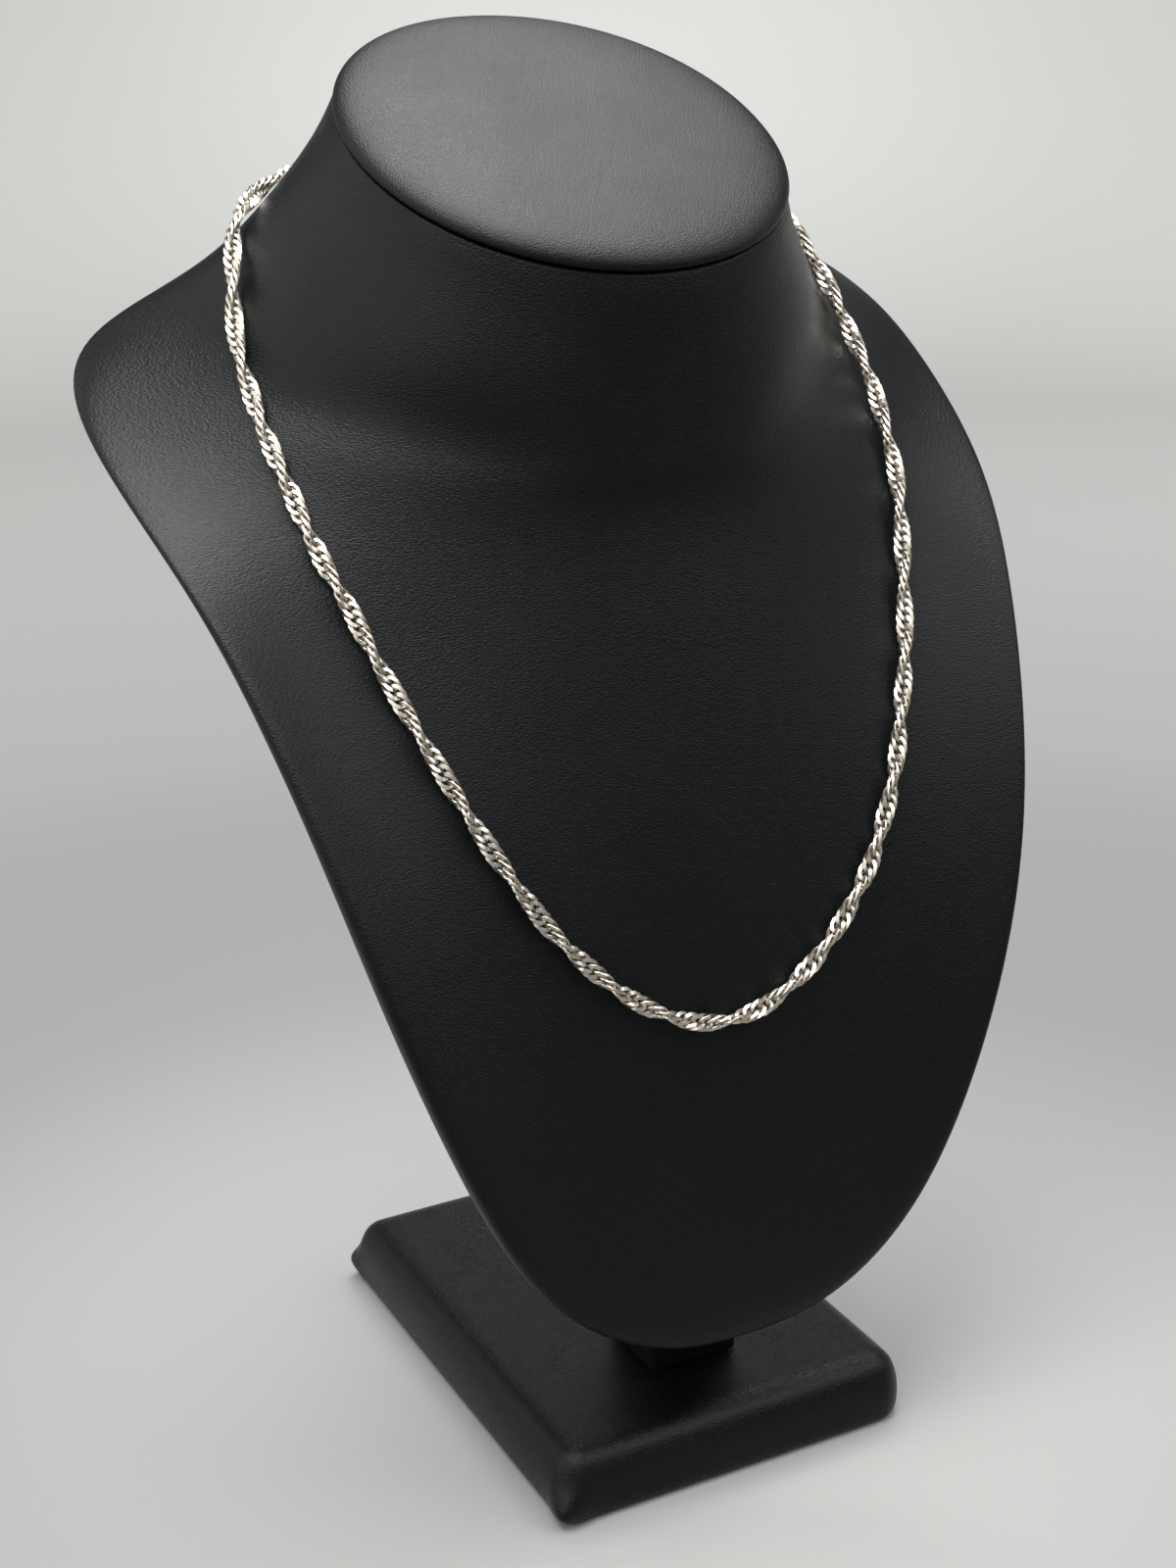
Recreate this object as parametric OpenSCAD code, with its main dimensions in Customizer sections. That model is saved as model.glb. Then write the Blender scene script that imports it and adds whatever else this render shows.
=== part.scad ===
// Twisted chain necklace on a padded neck bust.
// Millimetres. Origin: middle of the foot's underside. +Z up, the chest faces -Y, symmetric about X = 0.

/* [Foot] */

// Width of the padded foot, side to side
base_width = 81.6; // [60:0.2:120]
// Depth of the padded foot, front to back
base_depth = 112.8; // [80:0.2:160]
// Height of the padded foot
base_height = 15; // [10:0.5:25]
// Radius of the foot's upright corners
base_corner = 7; // [4:0.5:15]

/* [Post] */

// Width of the bracket post behind the chest
post_width = 20; // [12:1:34]
// Depth of the post where it stands on the foot
post_depth = 20; // [12:1:30]

/* [Cap] */

// Narrow gap between the neck's rim and the cap, measured square to the rim
cap_gap = 0.3; // [0.2:0.1:1.5]
// Height of the cap's dome above the rim
cap_height = 5.6; // [3:0.2:10]

/* [Chain] */

// Width over the twisted chain
chain_width = 3.3; // [2.4:0.1:3.4]
// Thickness of the clasp behind the neck
clasp_thickness = 2.6; // [1.6:0.1:2.8]

/* [Hidden] */

leather_black = [0.035, 0.035, 0.04];
silver = [0.86, 0.86, 0.87];

// Clearance kept between pieces that meet
meet_gap = 0.1;

// Cross-sections of the bust form, bottom to top. Each one is a slice that leans about Y = LEAN_Y.
// Z0 is its height there, LEAN its rise per millimetre of Y, HALF its half width, EDGE_Y the Y of its side
// edge. FRONT_MID and FRONT_SIDE are the Y of its front face at the middle and at the side, and DISH is the
// hollow between them. BACK_MID and BACK_SIDE are the same for its back face. SPREAD and ROUND are the
// exponents of the section, along its width and its thickness: 2 and 2 are an oval. A high SPREAD keeps the
// faces full out to a narrow side edge, and ROUND is how square that edge is.
LEAN_Y = 8.75;
Z0 = 0;
LEAN = 1;
HALF = 2;
EDGE_Y = 3;
FRONT_MID = 4;
FRONT_SIDE = 5;
DISH = 6;
BACK_MID = 7;
BACK_SIDE = 8;
SPREAD = 9;
ROUND = 10;
form_rows = [
    [32.5, 0, 5, -54.5, -56.5, -56.5, 0, -53, -53, 2.6, 2.6],
    [33.5, 0, 15, -54.5, -58.5, -58.5, 0, -51, -51, 3, 3],
    [37.5, 0, 25.5, -55, -59.5, -59.5, 0, -50.5, -50.5, 6, 3.2],
    [46, 0, 38, -54.5, -59, -59, 0, -49.5, -50, 14, 3],
    [60, 0, 48.5, -54, -56, -58.5, 0, -46.5, -49.5, 32, 2.5],
    [80, 0, 57, -54, -53.5, -58.5, 0.5, -43.5, -49.5, 44, 2.3],
    [102, 0, 65, -52, -51, -56.5, 1.5, -39, -47.5, 50, 2.3],
    [125, 0, 71.5, -47.5, -48, -52, 3.5, -32, -43, 55, 2.3],
    [146, 0, 76, -39.5, -43.5, -44, 6, -21, -35, 58, 2.3],
    [165, 0.02, 80.5, -29.5, -39, -34, 9, -6, -25, 60, 2.3],
    [182, 0.05, 84.5, -18, -35, -22.5, 11.5, 14, -13.5, 40, 2.8],
    [195, 0.11, 89, -3, -32.5, -7.5, 11.5, 33, 1.5, 14, 4.5],
    [205, 0.2, 93, 22, -32, 17, 10, 47, 27, 7.5, 5.5],
    [211, 0.28, 93, 43.5, -32, 33.5, 7, 54, 48.5, 5.5, 5.5],
    [216, 0.34, 80, 45, -32.5, 26, 5, 56, 52, 4, 4],
    [221.5, 0.39, 65.5, 38, -32, 0, 3, 56, 54.5, 3, 3],
    [229, 0.44, 60, 30, -32, -22, 1.5, 54.5, 54, 2.4, 2.4],
    [238, 0.47, 55, 22, -32, -31, 0, 52.5, 52, 2.15, 2.15],
    [247, 0.5, 48.5, 16, -32, -32, 0, 50.5, 50.5, 2.05, 2.05],
    [254.5, 0.51, 45, 11, -32.5, -32.5, 0, 50, 50, 2.05, 2.05],
    [259, 0.51, 43.5, 8.5, -32.5, -32.5, 0, 49.5, 49.5, 2.05, 2.05]
];
// Steps round the side edge, as parts of the edge's own half thickness, and steps across each face
edge_steps = [0, 0.3, 0.56, 0.78, 0.92, 1];
face_steps = 12;
// How fast the face goes from its middle to its side
face_power = 2.4;
smooth_passes = 3;

// Rim of the neck, from the last row: its lean, half width, half depth along the lean, and middle
rim_row = form_rows[len(form_rows) - 1];
rim_lean = atan(rim_row[LEAN]);
rim_half_width = rim_row[HALF];
rim_half_depth = (rim_row[BACK_MID] - rim_row[FRONT_MID]) / 2 / cos(rim_lean);
rim_middle = [0, rim_row[EDGE_Y], rim_row[Z0] + rim_row[LEAN] * (rim_row[EDGE_Y] - LEAN_Y)];
rim_sides = 64;
// Cap profile from its underside to its crown: IN distance inside the rim line, UP part of the cap's height
IN = 0;
UP = 1;
cap_rows = [
    [5.0, 0.0],
    [0.9, 0.02],
    [0.25, 0.06],
    [0.0, 0.13],
    [0.15, 0.28],
    [0.9, 0.45],
    [2.6, 0.61],
    [5.6, 0.74],
    [10.5, 0.85],
    [19.0, 0.935],
    [30.0, 0.985],
    [40.0, 1.0]
];

// Foot profile from its underside to its top: FOOT_IN distance inside the outline, FOOT_UP part of the height
FOOT_IN = 0;
FOOT_UP = 1;
foot_rows = [
    [2.2, 0.0],
    [0.8, 0.06],
    [0.15, 0.18],
    [0.0, 0.38],
    [0.25, 0.58],
    [1.1, 0.78],
    [2.5, 0.91],
    [4.4, 0.98],
    [6.4, 1.0]
];
corner_steps = 6;

// Side view of the post as [Y, Z]: a straight leg whose upper front follows the back of the chest
post_front = -37;
post_front_top = 36;
post_rear_top = 92;
chest_line = [
    [-46.9, 56],
    [-45.1, 68],
    [-43.0, 80],
    [-40.6, 92],
    [-37.9, 103],
    [-35.2, 112]
];

// Route of the chain, from the lowest point round the right side to the middle of the back
route_half = [
    [0, -53.5, 99.5], [8.5, -53, 101], [16, -52.5, 105], [23, -51.5, 110], [29, -50, 116.5],
    [34.5, -48.5, 123], [39, -46, 130.5], [43, -43.5, 138], [46.5, -40, 145.5],
    [49.5, -36.5, 153], [52.5, -33, 160], [55, -28.5, 167.5], [57.5, -24.5, 174.5],
    [59.5, -20.4, 182], [62, -15.5, 189], [63.5, -10.4, 196], [64.5, -4.8, 203], [65.5, 1.5, 210],
    [65.5, 7.5, 216], [65.5, 13.5, 223], [64.5, 19, 229.5], [62, 24, 236.5], [60, 30, 243.5],
    [55.5, 36, 248.5], [50, 42, 251], [43, 46.5, 253], [35, 50, 254.5], [26.5, 52.5, 255.5],
    [17.5, 54, 256], [9, 55, 256.5], [0, 55, 256.5]
];
chain_sides = 8;
// The last route point is left to the clasp
route = [
    for (i = [len(route_half) - 2 : -1 : 1]) [-route_half[i].x, route_half[i].y, route_half[i].z],
    for (i = [0 : len(route_half) - 2]) route_half[i]
];

// Clasp: a flat bar with a wide middle, seen from behind, leaning with the neck
clasp_middle = [0, 55, 256.5];
clasp_lean = 9;
clasp_reach = 7.3;
clasp_end_radius = 1.3;
clasp_body_radius = 2.5;
clasp_body_offset = 2.4;

// Shared functions

function extended(t, i) =
    i < 0 ? 2 * t[0] - t[1] :
    i >= len(t) ? 2 * t[len(t) - 1] - t[len(t) - 2] :
    t[i];

// The table with a smooth row put between each two
function doubled(t) = [
    for (i = [0 : 2 * len(t) - 2])
        let (k = floor(i / 2))
        i % 2 == 0 ? t[k] :
        (9 * t[k] + 9 * t[k + 1] - extended(t, k - 1) - extended(t, k + 2)) / 16
];

// Part of one measure of the section that belongs to a part of the other
function rounded_from(x, n, m) = pow(max(0, 1 - pow(x, n)), 1 / m);

// Pairs [part of the half width, part of the half thickness] from the side edge to the middle
function stations(r) =
    let (
        p = r[SPREAD],
        q = r[ROUND],
        wide = pow(1 / p, 1 / p),
        high = rounded_from(wide, p, q)
    )
    concat(
        [for (e = edge_steps) [rounded_from(e * high, q, p), e * high]],
        [for (i = [1 : face_steps]) let (u = wide * (1 - i / face_steps)) [u, rounded_from(u, p, q)]]
    );

// The dish is deepest between the middle and the side
function dish_y(r, u) = r[DISH] * 4 * u * u * (1 - u * u);

function front_y(r, u) =
    r[FRONT_SIDE] + (r[FRONT_MID] - r[FRONT_SIDE]) * (1 - pow(u, face_power)) + dish_y(r, u);

function back_y(r, u) =
    r[BACK_SIDE] + (r[BACK_MID] - r[BACK_SIDE]) * (1 - pow(u, face_power));

function slice_point(r, x, y) = [x, y, r[Z0] + r[LEAN] * (y - LEAN_Y)];

// One closed slice: right edge, front, left edge, back
function slice(r) =
    let (
        st = stations(r),
        n = len(st),
        front = [for (s = st) [s[0] * r[HALF], r[EDGE_Y] + (front_y(r, s[0]) - r[EDGE_Y]) * s[1]]],
        back = [for (s = st) [s[0] * r[HALF], r[EDGE_Y] + (back_y(r, s[0]) - r[EDGE_Y]) * s[1]]]
    )
    concat(
        [for (i = [0 : n - 1]) slice_point(r, front[i].x, front[i].y)],
        [for (i = [n - 2 : -1 : 0]) slice_point(r, -front[i].x, front[i].y)],
        [for (i = [1 : n - 1]) slice_point(r, -back[i].x, back[i].y)],
        [for (i = [n - 2 : -1 : 1]) slice_point(r, back[i].x, back[i].y)]
    );

function smoothed(rings, passes) =
    passes == 0 ? rings :
    smoothed(
        [
            for (i = [0 : len(rings) - 1])
                i == 0 || i == len(rings) - 1 ? rings[i] :
                (rings[i - 1] + 2 * rings[i] + rings[i + 1]) / 4
        ],
        passes - 1
    );

function middle_of(points) = [for (p = points) 1] * points / len(points);

// A closed solid from rings of points that run clockwise seen from the last ring's side
module ring_solid(rings) {
    m = len(rings[0]);
    last = len(rings) - 1;
    points = concat([for (r = rings) each r], [middle_of(rings[0]), middle_of(rings[last])]);
    low = m * len(rings);
    faces = concat(
        [
            for (i = [0 : last - 1], j = [0 : m - 1])
                [i * m + j, i * m + (j + 1) % m, (i + 1) * m + (j + 1) % m]
        ],
        [
            for (i = [0 : last - 1], j = [0 : m - 1])
                [i * m + j, (i + 1) * m + (j + 1) % m, (i + 1) * m + j]
        ],
        [for (j = [0 : m - 1]) [low, (j + 1) % m, j]],
        [for (j = [0 : m - 1]) [low + 1, last * m + j, last * m + (j + 1) % m]]
    );
    polyhedron(points = points, faces = faces, convexity = 6);
}

function signed_power(v, e) = sign(v) * pow(abs(v), e);

// Ring of the leaning rim, moved in from the rim line and up square to it
function rim_ring(inset, up) = [
    for (i = [0 : rim_sides - 1])
        let (
            a = -360 * i / rim_sides,
            along = (rim_half_depth - inset) * signed_power(sin(a), 2 / rim_row[ROUND])
        )
        [
            (rim_half_width - inset) * signed_power(cos(a), 2 / rim_row[ROUND]),
            rim_middle.y + along * cos(rim_lean) - up * sin(rim_lean),
            rim_middle.z + along * sin(rim_lean) + up * cos(rim_lean)
        ]
];

// Ring of the foot's outline, clockwise seen from above
function foot_ring(inset, z) =
    let (
        r = base_corner - min(inset, base_corner - 0.6),
        hx = base_width / 2 - inset - r,
        hy = base_depth / 2 - inset - r
    )
    [
        for (c = [0 : 3], s = [0 : corner_steps])
            let (
                a = -90 * c - 90 * s / corner_steps + 90,
                sx = c == 0 || c == 1 ? 1 : -1,
                sy = c == 0 || c == 3 ? 1 : -1
            )
            [sx * hx + r * cos(a), sy * hy + r * sin(a), z]
    ];

function unit(v) = v / norm(v);

function route_direction(i) =
    unit(route[min(i + 1, len(route) - 1)] - route[max(i - 1, 0)]);

// Ring of the chain's tube, square to the route
function chain_ring(i) =
    let (
        t = route_direction(i),
        side = unit(cross(t, [0, 0.6, 0.8])),
        out = cross(side, t)
    )
    [
        for (k = [0 : chain_sides - 1])
            let (a = 360 * k / chain_sides)
            route[i] + chain_width / 2 * (side * cos(a) + out * sin(a))
    ];

// Pieces

module bust_form() {
    color(leather_black)
        ring_solid(smoothed([for (r = doubled(form_rows)) slice(r)], smooth_passes));
}

module neck_cap() {
    color(leather_black)
        ring_solid([for (r = cap_rows) rim_ring(r[IN], cap_gap + r[UP] * (cap_height - cap_gap))]);
}

module post() {
    side_view = concat(
        [
            [post_front + post_depth, base_height + meet_gap],
            [post_front, base_height + meet_gap],
            [post_front, post_front_top]
        ],
        chest_line,
        [[post_front + post_depth, post_rear_top]]
    );
    color(leather_black)
        rotate([90, 0, 90])
            translate([0, 0, -post_width / 2])
                linear_extrude(height = post_width)
                    polygon(side_view);
}

module base_board() {
    color(leather_black)
        ring_solid([for (r = foot_rows) foot_ring(r[FOOT_IN], r[FOOT_UP] * base_height)]);
}

module chain() {
    color(silver)
        ring_solid([for (i = [0 : len(route) - 1]) chain_ring(i)]);
}

module clasp() {
    color(silver)
        translate(clasp_middle)
            rotate([90 + clasp_lean, 0, 0])
                linear_extrude(height = clasp_thickness, center = true)
                    hull() {
                        for (side = [-1, 1])
                            translate([side * clasp_reach, 0])
                                circle(r = clasp_end_radius, $fn = 24);
                        translate([clasp_body_offset, 0])
                            circle(r = clasp_body_radius, $fn = 32);
                    }
}

bust_form();
neck_cap();
post();
base_board();
chain();
clasp();
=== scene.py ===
"""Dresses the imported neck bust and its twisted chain: leatherette, silver links, stage, light and camera."""

import math

import bmesh
import bpy
import numpy as np
from bpy.props import FloatProperty, FloatVectorProperty, IntProperty, PointerProperty
from mathutils import Matrix, Quaternion, Vector
from mathutils.bvhtree import BVHTree


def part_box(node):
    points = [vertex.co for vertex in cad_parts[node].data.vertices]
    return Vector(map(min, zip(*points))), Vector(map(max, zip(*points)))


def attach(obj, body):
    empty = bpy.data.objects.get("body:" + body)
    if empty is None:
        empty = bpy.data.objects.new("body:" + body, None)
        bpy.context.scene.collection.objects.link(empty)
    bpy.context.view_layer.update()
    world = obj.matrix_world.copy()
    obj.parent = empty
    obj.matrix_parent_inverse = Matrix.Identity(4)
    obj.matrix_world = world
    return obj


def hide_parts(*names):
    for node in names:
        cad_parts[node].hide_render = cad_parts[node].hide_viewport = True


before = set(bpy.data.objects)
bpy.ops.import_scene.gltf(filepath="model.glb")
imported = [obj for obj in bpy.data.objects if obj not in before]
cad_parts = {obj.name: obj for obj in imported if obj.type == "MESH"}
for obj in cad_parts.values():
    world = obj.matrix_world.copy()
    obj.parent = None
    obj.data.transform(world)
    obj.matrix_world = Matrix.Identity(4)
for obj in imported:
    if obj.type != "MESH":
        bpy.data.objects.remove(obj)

bl_info = {
    "name": "Necklace on a Neck Bust",
    "version": (1, 0, 0),
    "blender": (4, 5, 0),
    "location": "3D View > Sidebar > Necklace",
    "description": "Leatherette bust, twisted silver chain, stage, light and camera",
    "category": "Object",
}

MM = 0.001

# Route of the chain in millimetres, from its lowest point round the right side to the middle of the back
ROUTE_HALF = [
    (0, -53.5, 99.5), (8.5, -53, 101), (16, -52.5, 105), (23, -51.5, 110), (29, -50, 116.5),
    (34.5, -48.5, 123), (39, -46, 130.5), (43, -43.5, 138), (46.5, -40, 145.5),
    (49.5, -36.5, 153), (52.5, -33, 160), (55, -28.5, 167.5), (57.5, -24.5, 174.5),
    (59.5, -20.4, 182), (62, -15.5, 189), (63.5, -10.4, 196), (64.5, -4.8, 203), (65.5, 1.5, 210),
    (65.5, 7.5, 216), (65.5, 13.5, 223), (64.5, 19, 229.5), (62, 24, 236.5), (60, 30, 243.5),
    (55.5, 36, 248.5), (50, 42, 251), (43, 46.5, 253), (35, 50, 254.5), (26.5, 52.5, 255.5),
    (17.5, 54, 256), (9, 55, 256.5), (0, 55, 256.5),
]

# Corners of a link's wire, as parts of its thickness: across and high
SECTION = [(0.5, 0), (0.42, 0.42), (-0.42, 0.42), (-0.5, 0), (-0.42, -0.42), (0.42, -0.42)]

# Where the chain stands on edge, in millimetres along it from its lowest point.
# From one of these places to the next it turns by half.
ON_EDGE = [
    -180, -165, -153, -142, -130.5, -119.5, -105.5, -89, -72.5, -57, -40.5, -27.5, -14,
    1.5, 16, 27.5, 39, 50.5, 63, 75.5, 89, 105.5, 122, 139.5, 157,
]

# Gathers of the foot's covering, as side (X), end (Y), reach, height and spread in millimetres
GATHERS = [
    (-1, -1, 3.4, 3.8, 3.8),
    (-1, 1, 2.9, 4.2, 3.4),
    (1, 1, 1.2, 4.0, 4.5),
]

# From a corner of the foot in to the middle of its gather, in millimetres
GATHER_INSET = 2.5

# Rows that hold the foot's edges firm, in millimetres in from the edge
FOOT_ROWS = (1.5, 8)

# Part of the bust that is rounded at the throat, in millimetres: half its width, its levels, how far back
# it reaches, and over what length the rounding fades to the sides and at its levels
THROAT = {"side": 61, "low": 176, "high": 244, "back": 8, "fade_side": 15, "fade_level": 14}

# Edges that bend by less than this look round: on the post and the clasp, and on the links
ROUND_UNDER = math.radians(35)
LINK_ROUND_UNDER = math.radians(38)

# The middle point of a CAD node's end has more edges than this
FAN_EDGES = 20

# Rows of the hollow inside the rolled edge at the neck's rim, in radii of the edge in from the rim
HOLLOW_ROWS = (3, 6)

# Half turns that the chain is given past both ends of its table
HALF_TURNS_BEYOND = 12

# Swells of noise in a metre: wear on the leatherette, polishing marks on the silver, clouds on the paper
WEAR_SCALE = 45.0
MARKS_SCALE = 9000.0
CLOUD_SCALE = 3.0

FLOOR_SIDES = 96

# Light panels: name, place and aim in metres, width and height in metres, turn in degrees, power in watts
PANELS = [
    ("overhead", (0.0, 0.07, 0.95), (0.0, 0.07, 0), (1.3, 0.6), 40, 29),
    ("front_left", (-1.0, -1.1, 1.1), (0, 0, 0.15), (2.0, 2.0), 0, 20),
    ("left", (-1.2, 0.0, 0.5), (0, 0, 0.2), (1.0, 0.7), 0, 6),
    ("right", (1.1, -0.6, 1.25), (0, 0, 0.15), (1.3, 1.3), 0, 13),
    ("front_top", (0.45, -0.85, 1.15), (0, 0, 0.15), (1.0, 1.0), 0, 7),
    ("back_left", (-1.0, 0.9, 0.95), (0, 0, 0.2), (0.9, 0.9), 0, 5),
]

# Distance in metres at which the table of the paper's paleness ends
PAPER_REACH = 2.0

# Paleness of the paper at distances in metres from the object's middle, painting light and shade: a painted
# pool of light under the object, a painted shadow ring round it, and a paler painted wall
PAPER_PAINTED_LIGHT = [
    (0.0, 1.40), (0.12, 0.98), (0.22, 0.54), (0.45, 0.66), (0.9, 1.40), (1.3, 2.05),
    (1.62, 2.5), (1.75, 1.5), (1.9, 0.4),
]


def length(name, description, default):
    """A size property in metres."""
    return FloatProperty(
        name=name, description=description, default=default, min=0, unit="LENGTH", precision=5
    )


def share(name, description, default):
    """A plain number from nothing to all."""
    return FloatProperty(name=name, description=description, default=default, min=0, max=1)


def angle(name, description, degrees):
    """An angle property, given in degrees and kept in radians."""
    return FloatProperty(
        name=name, description=description, default=math.radians(degrees), subtype="ANGLE"
    )


def colour(name, description, default):
    """A linear colour property."""
    return FloatVectorProperty(
        name=name, description=description, default=default, size=3, min=0, max=1, subtype="COLOR"
    )


def place(name, description, default):
    """A point property in metres."""
    return FloatVectorProperty(
        name=name, description=description, default=default, size=3, subtype="TRANSLATION", unit="LENGTH"
    )


class LeatheretteLook(bpy.types.PropertyGroup):
    """Finish of the black leatherette"""

    black: colour("Black", "Colour of the raised grain", (0.0024, 0.0031, 0.0036))
    # Painted shade: the grain is given a darker colour down between its ripples
    painted_crease_shade: colour("Crease", "Colour down between the ripples", (0.0016, 0.0020, 0.0024))
    roughness: share("Roughness", "Roughness of the raised grain", 0.38)
    ripple_length: length("Ripple Length", "Length of one ripple of the grain", 1.3 * MM)
    ripple_height: length("Ripple Height", "Height of one ripple of the grain", 0.5 * MM)
    pebble: length("Pebble", "Size of the fine even grain", 0.42 * MM)
    depth: length("Depth", "Depth of the grain", 0.062 * MM)
    shine: share("Shine", "Strength of the reflections", 0.14)
    rubbed: share("Rubbed", "How much smoother the foot's covering is", 0.13)


class SilverLook(bpy.types.PropertyGroup):
    """Finish of the silver"""

    bright: colour("Bright", "Colour of clean silver", (0.59, 0.567, 0.51))
    dull: colour("Dull", "Colour where it has dulled", (0.49, 0.463, 0.41))
    # Partly tarnish, partly painted shade: the uncut sides, down in the gaps between links, are painted darker
    tarnish_and_painted_shade: colour("Dark", "Colour of the uncut sides of the wire", (0.50, 0.45, 0.38))
    roughness: share("Roughness", "Roughness of the polished faces", 0.33)
    patch: length("Patch", "Size of a dulled patch", 2.5 * MM)
    marks: length("Marks", "Depth of the fine marks of polishing", 0.01 * MM)
    clasp: share("Clasp", "How polished the clasp is", 0.8)


class BustSizes(bpy.types.PropertyGroup):
    """Sizes of the bust's covering and of its cap"""

    lip: length("Lip Radius", "Radius of the rolled edge at the neck's rim", 0.8 * MM)
    valley: length("Valley", "Depth of the hollow inside the rolled edge", 2.0 * MM)
    levels: IntProperty(name="Levels", description="Subdivision of the covering", default=2, min=1, max=3)
    throat: IntProperty(
        name="Throat", description="Smoothing steps where the neck meets the chest", default=150
    )


class FootSizes(bpy.types.PropertyGroup):
    """Sizes of the foot's covering and of the post"""

    levels: IntProperty(name="Levels", description="Subdivision of the foot", default=3, min=1, max=4)
    post_edge: length("Post Edge", "Radius of the post's edges", 1.4 * MM)


class ChainSizes(bpy.types.PropertyGroup):
    """Sizes of the twisted chain"""

    pitch: length("Link Pitch", "Distance from one link to the next", 1.68 * MM)
    wire: length("Wire", "Thickness of a link's wire", 0.77 * MM)
    half_length: length("Half Length", "Half the length of a link's centre line", 2.12 * MM)
    half_width: length("Half Width", "Half the width of a link's centre line", 1.42 * MM)
    wave: length("Wave", "How far the centre line rises and falls", 0.55 * MM)
    flat: length("Flat", "Height of the cut faces from the link's middle", 0.64 * MM)
    half_turn: length("Half Turn", "Length over which the chain turns by half", 14.2 * MM)
    follow: share("Follow", "How far a link itself twists with the chain", 0.45)
    clasp_gap: length("Clasp Gap", "From the clasp's middle to the first link", 9.2 * MM)
    clasp_edge: length("Clasp Edge", "Radius of the clasp's edges", 0.5 * MM)
    rounding: length("Rounding", "Length over which the route is smoothed", 7 * MM)
    straight: share("Straight", "How far the upper sides of a link are drawn straight", 0.2)
    steep: FloatProperty(
        name="Steep", description="How quickly a link dips under its neighbours", default=1.5
    )
    stations: IntProperty(name="Stations", description="Sides round a link", default=16, min=10, max=16)


class StageSizes(bpy.types.PropertyGroup):
    """Camera, floor and light"""

    camera_place: place("Camera Place", "Where the camera stands", (-0.2053, -0.4083, 0.2900))
    heading: angle("Heading", "Turn of the camera from straight ahead to the right", 26.4)
    tilt: angle("Tilt", "How far the camera looks down", 19.09)
    roll: angle("Roll", "Turn of the camera about its own line of sight", -1.68)
    lens: FloatProperty(name="Lens", description="Focal length in millimetres", default=54.07, unit="CAMERA")
    film: FloatProperty(name="Film", description="Width of the film in millimetres", default=36)
    floor_radius: length("Floor Radius", "Radius of the flat floor", 1.2)
    cove_radius: length("Cove Radius", "Radius of the curve from floor to wall", 0.4)
    wall_height: length("Wall Height", "Height of the wall above the floor", 0.44)
    # Middle of a painted pool of light on the wall
    painted_glow: place("Glow", "Where the wall is palest", (0.70, 1.41, 0.30))
    paper: colour("Paper", "Colour of the floor and wall", (0.203, 0.205, 0.198))
    room: colour("Room", "Colour of the faint light from all round", (0.95, 0.97, 1.0))
    room_strength: share("Room Strength", "Strength of the faint light from all round", 0.1)


# Shared steps


def activate(piece):
    """Selects this piece alone."""
    bpy.ops.object.select_all(action="DESELECT")
    piece.select_set(True)
    bpy.context.view_layer.objects.active = piece


def open_edit(piece, kind="VERT"):
    """Starts editing this piece alone, with all of it selected."""
    activate(piece)
    bpy.ops.object.mode_set(mode="EDIT")
    bpy.ops.mesh.select_mode(type=kind)
    bpy.ops.mesh.select_all(action="SELECT")


def close_edit():
    """Ends editing."""
    bpy.ops.object.mode_set(mode="OBJECT")


def select_points(piece, wanted):
    """Selects the points that pass a test, and what lies between them, while editing."""
    bpy.ops.mesh.select_all(action="DESELECT")
    mesh = bmesh.from_edit_mesh(piece.data)
    for point in mesh.verts:
        point.select = bool(wanted(point))
    mesh.select_flush(True)
    bmesh.update_edit_mesh(piece.data)


def chosen_points(piece):
    """Places of the selected points, while editing."""
    mesh = bmesh.from_edit_mesh(piece.data)
    return [point.co.copy() for point in mesh.verts if point.select]


def merged_copy(node, name):
    """A copy of a CAD node with its doubled points merged, open for editing."""
    piece = bpy.data.objects.new(name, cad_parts[node].data.copy())
    bpy.context.scene.collection.objects.link(piece)
    piece.data.materials.clear()
    open_edit(piece)
    bpy.ops.mesh.customdata_custom_splitnormals_clear()
    bpy.ops.mesh.remove_doubles(threshold=0.001 * MM)
    return piece


def fans_opened(piece):
    """Takes out the point at the middle of each end, and joins the triangles to quads."""
    select_points(piece, lambda point: len(point.link_edges) > FAN_EDGES)
    bpy.ops.mesh.delete(type="VERT")
    bpy.ops.mesh.select_all(action="SELECT")
    bpy.ops.mesh.tris_convert_to_quads(
        face_threshold=math.radians(75), shape_threshold=math.pi, topology_influence=2.0
    )


def flats_joined():
    """Joins the triangles of each flat face, while editing."""
    bpy.ops.mesh.dissolve_limited(angle_limit=math.radians(1))


def select_end(piece, upper):
    """Selects the open ring at the upper or lower end."""
    heights = [point.z for point in chosen_points(piece)]
    middle = (min(heights) + max(heights)) / 2
    select_points(piece, lambda point: point.is_boundary and (point.co.z > middle) == upper)


def add_modifier(piece, name, kind, **values):
    """Adds a modifier with these values and applies it."""
    activate(piece)
    modifier = piece.modifiers.new(name, kind)
    for key, value in values.items():
        setattr(modifier, key, value)
    bpy.ops.object.modifier_apply(modifier=name)


def subdivided(piece, levels):
    """Smooths the piece by subdivision."""
    add_modifier(piece, "Smooth", "SUBSURF", levels=levels, render_levels=levels)


def bevelled(piece, width, segments):
    """Rounds the piece's sharp edges."""
    add_modifier(piece, "Edges", "BEVEL", width=width, segments=segments, limit_method="ANGLE")


def shaded_smooth(piece, under=None):
    """Lets the piece look round, or only where its edges bend by less than an angle."""
    activate(piece)
    if under is None:
        bpy.ops.object.shade_smooth()
    else:
        bpy.ops.object.shade_smooth_by_angle(angle=under)


def finished(piece, material, node):
    """Gives the piece its finish and ties it to the frame."""
    piece.data.materials.append(material)
    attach(piece, "root")
    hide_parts(node)


# Node trees


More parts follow.
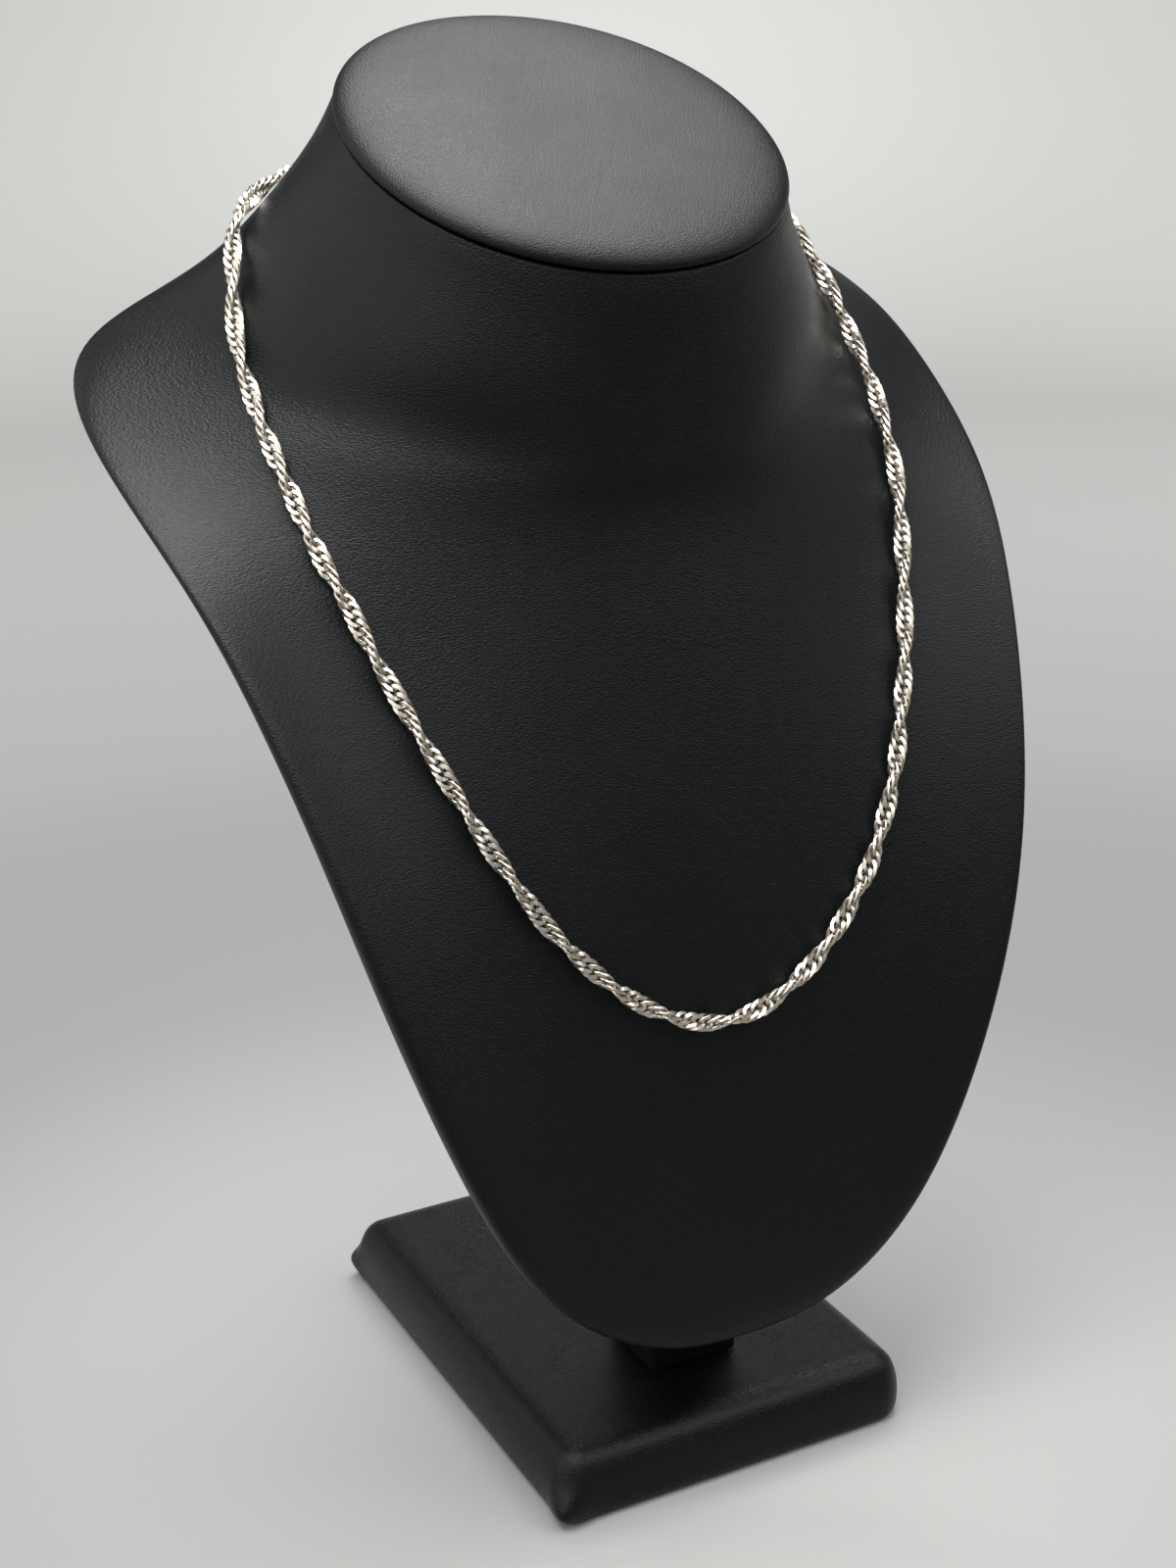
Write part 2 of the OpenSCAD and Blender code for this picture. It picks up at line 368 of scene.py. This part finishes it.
class Tree:
    """A node tree that is filled from left to right."""

    def __init__(self, tree):
        self.tree = tree
        tree.nodes.clear()

    def add(self, kind, inputs=None, **values):
        """Adds a node, sets its values, and feeds its inputs with numbers or other nodes' outputs."""
        node = self.tree.nodes.new(kind)
        for key, value in values.items():
            setattr(node, key, value)
        for key, value in (inputs or {}).items():
            self.feed(node.inputs[key], value)
        return node

    def feed(self, socket, value):
        """Links an input to another node's output, or sets the input's own value."""
        if isinstance(value, bpy.types.NodeSocket):
            self.tree.links.new(value, socket)
        else:
            socket.default_value = value

    def mapped(self, value, low, high, to_low, to_high):
        """A value moved from one range to another, without steps."""
        inputs = {"Value": value, "From Min": low, "From Max": high, "To Min": to_low, "To Max": to_high}
        return self.add("ShaderNodeMapRange", inputs, interpolation_type="SMOOTHSTEP").outputs["Result"]

    def mixed(self, factor, first, second):
        """A colour between two colours."""
        node = self.add("ShaderNodeMix", data_type="RGBA")
        # Inputs 0, 6 and 7 of a Mix node are its factor and its two colours, and output 2 is the mixed colour
        for number, value in ((0, factor), (6, first), (7, second)):
            self.feed(node.inputs[number], value)
        return node.outputs[2]

    def maths(self, operation, first, second):
        """One step of arithmetic."""
        return self.add("ShaderNodeMath", {0: first, 1: second}, operation=operation).outputs[0]

    def noise(self, vector, scale, detail, roughness=0.5):
        """Soft noise between 0 and 1."""
        inputs = {"Vector": vector, "Scale": scale, "Detail": detail, "Roughness": roughness}
        return self.add("ShaderNodeTexNoise", inputs).outputs["Fac"]

    def surface(self, inputs):
        """Ends the tree with a shader that has these inputs."""
        shader = self.add("ShaderNodeBsdfPrincipled", inputs)
        self.add("ShaderNodeOutputMaterial", {"Surface": shader.outputs[0]})


def new_material(name):
    """A new material, its empty node tree, and its Object coordinates."""
    material = bpy.data.materials.new(name)
    material.use_nodes = True
    tree = Tree(material.node_tree)
    return material, tree, tree.add("ShaderNodeTexCoord").outputs["Object"]


def rgba(tone):
    """A colour with full opacity."""
    return (*tone, 1.0)


def grain_group():
    """Leatherette grain: soft ripples with a fine pebble on them, and painted shade down in their creases."""
    group = bpy.data.node_groups.get("Leatherette Grain")
    if group:
        return group
    group = bpy.data.node_groups.new("Leatherette Grain", "ShaderNodeTree")
    sockets = [
        ("Vector", "INPUT", "NodeSocketVector"),
        ("Ripple Size", "INPUT", "NodeSocketVector"),
        ("Pebble Size", "INPUT", "NodeSocketFloat"),
        ("Color", "OUTPUT", "NodeSocketColor"),
        ("Roughness", "OUTPUT", "NodeSocketFloat"),
        ("Height", "OUTPUT", "NodeSocketFloat"),
    ]
    for name, side, kind in sockets:
        group.interface.new_socket(name, in_out=side, socket_type=kind)
    look = bpy.context.scene.leatherette_look
    tree = Tree(group)
    given = tree.add("NodeGroupInput")
    vector = given.outputs["Vector"]
    point = tree.add(
        "ShaderNodeVectorMath", {0: vector, 1: given.outputs["Ripple Size"]}, operation="DIVIDE"
    ).outputs["Vector"]
    ripples = tree.noise(point, 2.0, 1.0, 0.4)
    fine = tree.maths("DIVIDE", 1.0, given.outputs["Pebble Size"])
    pebbles = tree.add(
        "ShaderNodeTexVoronoi", {"Vector": vector, "Scale": fine, "Smoothness": 0.8}, feature="SMOOTH_F1"
    ).outputs["Distance"]
    ridge = tree.mapped(ripples, 0.2, 0.8, 0.0, 1.0)
    dome = tree.mapped(pebbles, 0.1, 0.7, 1.0, 0.0)
    dome_share = 0.2
    height = tree.maths("ADD", ridge, tree.maths("MULTIPLY", dome, dome_share))
    handled = tree.noise(vector, WEAR_SCALE, 2.0)
    uneven = 0.03
    worn = tree.mapped(handled, 0.3, 0.7, look.roughness + uneven, look.roughness - uneven)
    rough_in_creases = tree.mapped(ridge, 0.0, 1.0, 0.06, -0.02)
    rough = tree.maths("ADD", worn, rough_in_creases)
    # Painted shade: down between the ripples the grain takes the darker crease colour
    tone = tree.mixed(ridge, rgba(look.painted_crease_shade), rgba(look.black))
    tree.add("NodeGroupOutput", {"Color": tone, "Roughness": rough, "Height": height})
    return group


def leatherette(name, ripple_size, rubbed=0.0):
    """Black leatherette whose ripples have this size along X, Y and Z, smoother where it is rubbed."""
    look = bpy.context.scene.leatherette_look
    material, tree, where = new_material(name)
    inputs = {"Vector": where, "Ripple Size": ripple_size, "Pebble Size": look.pebble}
    grain = tree.add("ShaderNodeGroup", inputs, node_tree=grain_group())
    bump = tree.add(
        "ShaderNodeBump", {"Height": grain.outputs["Height"], "Distance": look.depth, "Strength": 1.0}
    )
    tree.surface(
        {
            "Base Color": grain.outputs["Color"],
            "Roughness": tree.maths("SUBTRACT", grain.outputs["Roughness"], rubbed),
            "Normal": bump.outputs["Normal"],
            "Specular IOR Level": look.shine,
        }
    )
    return material


def silver(name, cut):
    """Silver: bright and polished where cut (0 to 1, or a face attribute's name), darker elsewhere with
    tarnish and painted shade between the links.
    """
    look = bpy.context.scene.silver_look
    material, tree, where = new_material(name)
    patches = tree.noise(where, 1 / look.patch, 3.0, 0.6)
    if isinstance(cut, str):
        cut = tree.add("ShaderNodeAttribute", attribute_name=cut).outputs["Fac"]
    dulled = tree.mapped(patches, 0.45, 0.75, 0.0, 1.0)
    polished = tree.mixed(dulled, rgba(look.bright), rgba(look.dull))
    # Where the wire is not cut the colour is darker: partly tarnish, partly painted shade of the gaps between
    # links
    tone = tree.mixed(cut, rgba(look.tarnish_and_painted_shade), polished)
    rough = tree.mapped(patches, 0.3, 0.7, look.roughness - 0.04, look.roughness + 0.08)
    marks = tree.noise(where, MARKS_SCALE, 2.0)
    bump = tree.add("ShaderNodeBump", {"Height": marks, "Distance": look.marks, "Strength": 0.6})
    tree.surface(
        {"Base Color": tone, "Roughness": rough, "Metallic": 1.0, "Normal": bump.outputs["Normal"]}
    )
    return material


def rippled(name):
    """Leatherette whose ripples lie level, as on the bust."""
    look = bpy.context.scene.leatherette_look
    return leatherette(name, (look.ripple_length, look.ripple_length, look.ripple_height))


def pebbled(name, rubbed=0.0):
    """Leatherette with an even grain, as on the cap and the foot."""
    size = 1.2 * bpy.context.scene.leatherette_look.ripple_height
    return leatherette(name, (size, size, size), rubbed)


# Pieces


def rim_axes(ring):
    """Middle and radius of the neck's rim, and the direction square to it."""
    back = max(ring, key=lambda point: point.y)
    front = min(ring, key=lambda point: point.y)
    up_the_lean = (back - front).normalized()
    return (back + front) / 2, (back - front).length / 2, Vector((1, 0, 0)).cross(up_the_lean)


class NECKLACE_OT_bust(bpy.types.Operator):
    """Stretches the leatherette over the bust form and rolls it in at the neck's rim"""

    bl_idname = "necklace.bust"
    bl_label = "Bust Skin"

    def execute(self, context):
        sizes = context.scene.bust_sizes
        skin = merged_copy("bust_form", "bust_skin")
        fans_opened(skin)
        select_end(skin, upper=False)
        bpy.ops.mesh.edge_face_add()
        bpy.ops.mesh.select_all(action="SELECT")
        select_end(skin, upper=True)
        middle, radius, square = rim_axes(chosen_points(skin))
        bpy.ops.transform.translate(value=-square * sizes.lip)
        inset, height = 0.0, -sizes.lip
        roll = [math.radians(turn) for turn in range(30, 181, 30)]
        profile = [(sizes.lip * (1 - math.cos(a)), sizes.lip * (math.sin(a) - 1)) for a in roll]
        profile += [(radii * sizes.lip, -sizes.valley) for radii in HOLLOW_ROWS]
        for next_inset, next_height in profile:
            rise = square * (next_height - height)
            bpy.ops.mesh.extrude_edges_move(TRANSFORM_OT_translate={"value": rise})
            factor = (radius - next_inset) / (radius - inset)
            centre = middle + square * next_height
            bpy.ops.transform.resize(value=(factor, factor, factor), center_override=centre)
            inset, height = next_inset, next_height
        bpy.ops.mesh.edge_face_add()
        close_edit()
        subdivided(skin, sizes.levels)
        self.soften_throat(skin, sizes)
        shaded_smooth(skin)
        finished(skin, rippled("bust_leatherette"), "bust_form")
        return {"FINISHED"}

    def soften_throat(self, skin, sizes):
        """Rounds the hollow in front, where the neck runs into the chest, but not the chain's path."""
        places = np.array([point.co for point in skin.data.vertices]) / MM
        side, height = np.abs(places[:, 0]), places[:, 2]
        inner = np.clip((THROAT["side"] - side) / THROAT["fade_side"], 0, 1)
        above = np.clip((height - THROAT["low"]) / THROAT["fade_level"], 0, 1)
        below = np.clip((THROAT["high"] - height) / THROAT["fade_level"], 0, 1)
        weights = inner * (above * below) * (places[:, 1] < THROAT["back"])
        throat = skin.vertex_groups.new(name="throat")
        for number in np.flatnonzero(weights):
            throat.add([int(number)], float(weights[number]), "REPLACE")
        add_modifier(
            skin, "Throat", "SMOOTH", factor=0.5, iterations=sizes.throat, vertex_group="throat"
        )
        skin.vertex_groups.clear()


class NECKLACE_OT_cap(bpy.types.Operator):
    """Makes the padded cap on the neck's rim"""

    bl_idname = "necklace.cap"
    bl_label = "Neck Cap"

    def execute(self, context):
        cap = merged_copy("neck_cap", "cap_pad")
        fans_opened(cap)
        for upper in (False, True):
            bpy.ops.mesh.select_all(action="SELECT")
            select_end(cap, upper)
            bpy.ops.mesh.edge_face_add()
        close_edit()
        subdivided(cap, context.scene.bust_sizes.levels)
        shaded_smooth(cap)
        finished(cap, pebbled("cap_leatherette"), "neck_cap")
        return {"FINISHED"}


class NECKLACE_OT_foot(bpy.types.Operator):
    """Makes the padded foot, whose covering is gathered at its corners, and the post on it"""

    bl_idname = "necklace.foot"
    bl_label = "Foot and Post"

    def execute(self, context):
        sizes = context.scene.foot_sizes
        self.make_foot(sizes)
        self.make_post(sizes)
        return {"FINISHED"}

    def make_foot(self, sizes):
        """Covers the foot, closes it above and below, and pulls out the gathers."""
        foot = merged_copy("base_board", "foot_pad")
        fans_opened(foot)
        low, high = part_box("base_board")
        for upper in (False, True):
            bpy.ops.mesh.select_all(action="SELECT")
            select_end(foot, upper)
            ring = np.array(chosen_points(foot))
            middle, reach = (ring.max(0) + ring.min(0)) / 2, np.ptp(ring, axis=0) / 2
            for inset in FOOT_ROWS:
                bpy.ops.mesh.extrude_edges_move(TRANSFORM_OT_translate={"value": (0, 0, 0)})
                shrink = (1 - inset * MM / reach[0], 1 - inset * MM / reach[1], 1)
                bpy.ops.transform.resize(value=shrink, center_override=middle)
            bpy.ops.mesh.edge_face_add()
        close_edit()
        subdivided(foot, sizes.levels)
        points = np.array([point.co for point in foot.data.vertices])
        for side, end, reach, height, spread in GATHERS:
            outward = np.array([side, end, 0]) / math.sqrt(2)
            knob = np.array([side * high.x, end * high.y, height * MM]) - outward * GATHER_INSET * MM
            away = np.linalg.norm(points - knob, axis=1) / (spread * MM)
            points += outward * (reach * MM * np.exp(-away**2))[:, None]
        points[:, 2] = np.maximum(points[:, 2], low.z)
        foot.data.vertices.foreach_set("co", points.ravel())
        shaded_smooth(foot)
        rubbed = bpy.context.scene.leatherette_look.rubbed
        finished(foot, pebbled("foot_leatherette", rubbed), "base_board")

    def make_post(self, sizes):
        """Covers the post and rounds its edges."""
        post = merged_copy("post", "post_wrap")
        flats_joined()
        close_edit()
        bevelled(post, sizes.post_edge, 3)
        shaded_smooth(post, ROUND_UNDER)
        finished(post, rippled("post_leatherette"), "post")


def route_line(step, rounding):
    """Even points along the closed route, from its lowest point round the right side, in metres."""
    right = np.array(ROUTE_HALF, float) * MM
    left = right[-2:0:-1] * (-1, 1, 1)
    closed = np.vstack([right, left, right[:1]])
    reach = np.concatenate([[0], np.cumsum(np.linalg.norm(np.diff(closed, axis=0), axis=1))])
    at = np.arange(0, reach[-1], step)
    line = np.column_stack([np.interp(at, reach, closed[:, axis]) for axis in range(3)])
    for _ in range(3):
        line = rolled_mean(line, int(rounding / step / 2))
    return line


def rolled_mean(rows, reach):
    """Each row averaged with its neighbours on both sides, on a closed loop."""
    return sum(np.roll(rows, shift, axis=0) for shift in range(-reach, reach + 1)) / (2 * reach + 1)


def unit_rows(rows):
    """Each row at length one."""
    return rows / np.linalg.norm(rows, axis=1, keepdims=True)


class NECKLACE_OT_chain(bpy.types.Operator):
    """Strings flat curb links along the route, each turned a little further than the last"""

    bl_idname = "necklace.chain"
    bl_label = "Twisted Chain"

    def execute(self, context):
        sizes = context.scene.chain_sizes
        link = self.model_link(sizes)
        corners = np.array([point.co for point in link.data.vertices])
        faces = np.array([face.vertices[:] for face in link.data.polygons])
        heights = corners[faces, 2]
        # The cut faces are level and lie near the link's highest and lowest points
        level = np.ptp(heights, axis=1) < 0.3 * sizes.wire
        outer = np.abs(heights).mean(axis=1) > 0.7 * sizes.flat
        bpy.data.objects.remove(link)
        middles, along, across, outward, turns, rate = self.link_places(sizes)
        count = len(middles)
        turned = turns[:, None] + sizes.follow * rate[:, None] * corners[None, :, 0]
        wide = corners[:, 1] * np.cos(turned) - corners[:, 2] * np.sin(turned)
        high = corners[:, 1] * np.sin(turned) + corners[:, 2] * np.cos(turned)
        points = (
            middles[:, None]
            + along[:, None] * corners[None, :, :1]
            + across[:, None] * wide[:, :, None]
            + outward[:, None] * high[:, :, None]
        )
        all_faces = faces[None] + len(corners) * np.arange(count)[:, None, None]
        mesh = bpy.data.meshes.new("twisted_chain")
        mesh.from_pydata(points.reshape(-1, 3).tolist(), [], all_faces.reshape(-1, 4).tolist())
        mesh.validate()
        # Faces that are not cut flat get the darker silver, partly painted shade between the links
        cut = mesh.attributes.new("cut", "FLOAT", "FACE")
        cut.data.foreach_set("value", np.tile(level & outer, count))
        chain = bpy.data.objects.new("twisted_chain", mesh)
        context.scene.collection.objects.link(chain)
        shaded_smooth(chain, LINK_ROUND_UNDER)
        finished(chain, silver("chain_silver", "cut"), "chain")
        return {"FINISHED"}

    def model_link(self, sizes):
        """One link: a ring of wire that dips under its neighbours twice, its faces cut flat."""
        bpy.ops.mesh.primitive_torus_add(
            major_segments=sizes.stations,
            minor_segments=len(SECTION),
            major_radius=sizes.half_length,
            minor_radius=sizes.wire / 2,
        )
        link = bpy.context.object
        for point in link.data.vertices:
            even = math.atan2(point.co.y, point.co.x)
            rounder = math.atan2(sizes.half_width * math.sin(even), sizes.half_length * math.cos(even))
            turn = (even + rounder) / 2
            inward = sizes.half_length - math.hypot(point.co.x, point.co.y)
            corner = round(math.degrees(math.atan2(point.co.z, -inward)) * len(SECTION) / 360)
            across, high = SECTION[corner % len(SECTION)]
            line, outside = self.ring_place(sizes, turn)
            point.co = line + outside * across * sizes.wire
            point.co.z = max(-sizes.flat, min(sizes.flat, line.z + high * sizes.wire))
        return link

    def ring_place(self, sizes, turn):
        """Point on a link's centre line at this turn, and the level direction out of the ring."""
        near = 0.01
        before, middle, after = (self.centre_line(sizes, turn + change) for change in (-near, 0, near))
        ahead = after - before
        return middle, Vector((ahead.y, -ahead.x, 0)).normalized()

    def centre_line(self, sizes, turn):
        """Point on a link's centre line: an oval whose upper sides are drawn straighter."""
        oval = Vector((sizes.half_length * math.cos(turn), sizes.half_width * math.sin(turn), 0))
        quarter, part = divmod((turn / (math.pi / 2)) % 4, 1)
        ends = [(math.cos(q * math.pi / 2), math.sin(q * math.pi / 2)) for q in (quarter, quarter + 1)]
        chord = [ends[0][k] * (1 - part) + ends[1][k] * part for k in (0, 1)]
        straight = Vector((chord[0] * sizes.half_length, chord[1] * sizes.half_width, 0))
        share_straight = sizes.straight if quarter in (1, 3) else 0
        point = oval.lerp(straight, share_straight)
        point.z = -sizes.wave * max(-1, min(1, sizes.steep * math.sin(2 * turn)))
        return point

    def link_places(self, sizes):
        """Middle, directions, turn and rate of turning of each link."""
        step = 0.25 * MM
        line = route_line(step, sizes.rounding)
        forward = unit_rows(np.roll(line, -1, axis=0) - np.roll(line, 1, axis=0))
        skin = bpy.data.objects["bust_skin"]
        tree = BVHTree.FromObject(skin, bpy.context.evaluated_depsgraph_get())
        away = unit_rows(np.array([Vector(point) - tree.find_nearest(Vector(point))[0] for point in line]))
        evened = 10 * MM
        away = rolled_mean(away, int(evened / step))
        outward = unit_rows(away - forward * (away * forward).sum(1, keepdims=True))
        across = np.cross(outward, forward)
        reach = np.concatenate([[0], np.cumsum(np.linalg.norm(np.diff(line, axis=0), axis=1))])
        whole = reach[-1] + np.linalg.norm(line[0] - line[-1])
        free = whole - 2 * sizes.clasp_gap
        count = round(free / sizes.pitch) + 1
        from_low = np.linspace(-free / 2, free / 2, count)
        places = []
        for table in (line, forward, across, outward):
            columns = [np.interp(from_low, reach, column, period=whole) for column in table.T]
            places.append(np.column_stack(columns))
        turns = self.turn_at(sizes, from_low)
        rate = (self.turn_at(sizes, from_low + MM) - self.turn_at(sizes, from_low - MM)) / (2 * MM)
        return (places[0], *[unit_rows(table) for table in places[1:]], turns, rate)

    def turn_at(self, sizes, from_low):
        """Turn of the chain at these distances from its lowest point."""
        marks = np.array(ON_EDGE, float) * MM
        lowest = min(ON_EDGE, key=abs) * MM
        further = np.arange(1, HALF_TURNS_BEYOND + 1) * sizes.half_turn
        marks = np.concatenate([marks[0] - further[::-1], marks, marks[-1] + further])
        halves = np.arange(len(marks)) - np.argmin(np.abs(marks - lowest)) + 0.5
        # The mean over these shifts evens out how quickly the chain turns
        shifts = np.arange(-4, 5, 2) * MM
        near = [np.interp(from_low + shift, marks, halves) for shift in shifts]
        return math.pi * sum(near) / len(near)


class NECKLACE_OT_clasp(bpy.types.Operator):
    """Rounds the plain clasp behind the neck"""

    bl_idname = "necklace.clasp"
    bl_label = "Clasp"

    def execute(self, context):
        clasp = merged_copy("clasp", "clasp_bar")
        flats_joined()
        close_edit()
        bevelled(clasp, context.scene.chain_sizes.clasp_edge, 4)
        shaded_smooth(clasp, ROUND_UNDER)
        polish = context.scene.silver_look.clasp
        finished(clasp, silver("clasp_silver", polish), "clasp")
        return {"FINISHED"}


class NECKLACE_OT_stage(bpy.types.Operator):
    """Sets the camera, the pale floor that curves up all round, and the soft light"""

    bl_idname = "necklace.stage"
    bl_label = "Stage"

    def execute(self, context):
        sizes = context.scene.stage_sizes
        self.set_camera(context, sizes)
        self.make_floor(sizes)
        self.set_light(context, sizes)
        context.scene.view_settings.view_transform = "Standard"
        return {"FINISHED"}

    def set_camera(self, context, sizes):
        """Adds the camera, turned by its heading, its tilt and its roll."""
        h, t, r = sizes.heading, sizes.tilt, sizes.roll
        sight = Vector((math.cos(t) * math.sin(h), math.cos(t) * math.cos(h), -math.sin(t)))
        level = Vector((math.cos(h), -math.sin(h), 0))
        upright = level.cross(sight)
        right = math.cos(r) * level + math.sin(r) * upright
        up = math.cos(r) * upright - math.sin(r) * level
        turn = Matrix((right, up, -sight)).transposed()
        bpy.ops.object.camera_add(location=sizes.camera_place, rotation=turn.to_euler())
        camera = context.object
        camera.name = "camera"
        camera.data.lens = sizes.lens
        camera.data.sensor_width = sizes.film
        camera.data.clip_start = 0.01
        context.scene.camera = camera

    def make_floor(self, sizes):
        """Adds the round floor and draws its edge up into a curve and a low wall."""
        bpy.ops.mesh.primitive_circle_add(vertices=FLOOR_SIDES, radius=sizes.floor_radius, fill_type="NGON")
        floor = bpy.context.object
        floor.name = "floor"
        open_edit(floor, "EDGE")
        radius, height = sizes.floor_radius, 0.0
        turns = [math.radians(a) for a in range(10, 91, 10)]
        cove = [
            (sizes.floor_radius + sizes.cove_radius * math.sin(a), sizes.cove_radius * (1 - math.cos(a)))
            for a in turns
        ]
        cove.append((cove[-1][0], sizes.wall_height))
        for next_radius, next_height in cove:
            select_points(floor, lambda point: point.is_boundary)
            rise = Vector((0, 0, next_height - height))
            bpy.ops.mesh.extrude_edges_move(TRANSFORM_OT_translate={"value": rise})
            factor = next_radius / radius
            bpy.ops.transform.resize(value=(factor, factor, 1), center_override=(0, 0, next_height))
            radius, height = next_radius, next_height
        close_edit()
        shaded_smooth(floor)
        floor.data.materials.append(self.paper(sizes))

    def paper(self, sizes):
        """Paper with painted light and shade: a painted pool of light under the object, a little darker in a
        painted shadow ring round it, a paler painted wall with a painted glow behind, and painted shade darker
        still in front of it.
        """
        material, tree, where = new_material("paper")
        cloud = tree.noise(where, CLOUD_SCALE, 2.0)
        away = tree.add("ShaderNodeVectorMath", {0: where}, operation="LENGTH").outputs["Value"]
        # Painted light and shade: the paper's paleness changes with the distance from the object's middle
        ramp = tree.add("ShaderNodeValToRGB", {"Fac": tree.maths("MULTIPLY", away, 1 / PAPER_REACH)})
        ramp.color_ramp.interpolation = "B_SPLINE"
        stops = ramp.color_ramp.elements
        while len(stops) > 1:
            stops.remove(stops[-1])
        for number, (distance, strength) in enumerate(PAPER_PAINTED_LIGHT):
            stop = stops[0] if number == 0 else stops.new(distance / PAPER_REACH)
            stop.position = distance / PAPER_REACH
            stop.color = rgba([strength * part for part in sizes.paper])
        # Painted light: the paper is paler round the glow's middle on the wall
        behind = tree.add("ShaderNodeVectorMath", {0: where, 1: sizes.painted_glow}, operation="DISTANCE")
        painted_glow = tree.mapped(behind.outputs["Value"], 0.05, 0.55, 1.25, 1.0)
        # Painted shade: the paper is darker in front of the object
        depth = tree.add("ShaderNodeSeparateXYZ", {"Vector": where}).outputs["Y"]
        near = tree.mapped(depth, -0.4, -0.15, 0.6, 1.0)
        clouded = tree.maths("MULTIPLY", painted_glow, tree.mapped(cloud, 0.3, 0.7, 0.985, 1.0))
        shade = tree.maths("MULTIPLY", clouded, near)
        tone = tree.add(
            "ShaderNodeVectorMath", {0: ramp.outputs["Color"], "Scale": shade}, operation="SCALE"
        ).outputs["Vector"]
        tree.surface({"Base Color": tone, "Roughness": 0.9})
        return material

    def set_light(self, context, sizes):
        """Adds the panels and a faint light from all round."""
        for panel in PANELS:
            self.add_panel(*panel)
        world = bpy.data.worlds.new("room")
        world.use_nodes = True
        background = world.node_tree.nodes["Background"]
        background.inputs["Color"].default_value = rgba(sizes.room)
        background.inputs["Strength"].default_value = sizes.room_strength
        context.scene.world = world

    def add_panel(self, name, location, target, size, turn, power):
        """A light panel that faces the target, turned by these degrees about its own middle."""
        facing = (Vector(target) - Vector(location)).to_track_quat("-Z", "Y")
        facing @= Quaternion((0, 0, 1), math.radians(turn))
        bpy.ops.object.light_add(type="AREA", location=location, rotation=facing.to_euler())
        panel = bpy.context.object
        panel.name = name
        panel.data.shape = "RECTANGLE"
        panel.data.size, panel.data.size_y = size
        panel.data.energy = power
        panel.visible_camera = False


class NECKLACE_PT_panel(bpy.types.Panel):
    """Lists the pieces in the order in which they are made"""

    bl_idname = "NECKLACE_PT_panel"
    bl_label = "Necklace"
    bl_space_type = "VIEW_3D"
    bl_region_type = "UI"
    bl_category = "Necklace"

    def draw(self, context):
        for operator in OPERATORS:
            self.layout.operator(operator.bl_idname)


SETTINGS = {
    "leatherette_look": LeatheretteLook,
    "silver_look": SilverLook,
    "bust_sizes": BustSizes,
    "foot_sizes": FootSizes,
    "chain_sizes": ChainSizes,
    "stage_sizes": StageSizes,
}
OPERATORS = (
    NECKLACE_OT_bust,
    NECKLACE_OT_cap,
    NECKLACE_OT_foot,
    NECKLACE_OT_chain,
    NECKLACE_OT_clasp,
    NECKLACE_OT_stage,
)


def register():
    """Registers the sizes and looks, the operators and the panel."""
    for name, group in SETTINGS.items():
        bpy.utils.register_class(group)
        setattr(bpy.types.Scene, name, PointerProperty(type=group))
    for kind in (*OPERATORS, NECKLACE_PT_panel):
        bpy.utils.register_class(kind)


def unregister():
    """Takes away all that register adds."""
    for kind in (NECKLACE_PT_panel, *reversed(OPERATORS)):
        bpy.utils.unregister_class(kind)
    for name, group in SETTINGS.items():
        delattr(bpy.types.Scene, name)
        bpy.utils.unregister_class(group)


def main():
    """Makes all the pieces and the stage."""
    register()
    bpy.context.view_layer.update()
    bpy.ops.necklace.bust()
    bpy.ops.necklace.cap()
    bpy.ops.necklace.foot()
    bpy.ops.necklace.chain()
    bpy.ops.necklace.clasp()
    bpy.ops.necklace.stage()


if __name__ == "__main__":
    main()
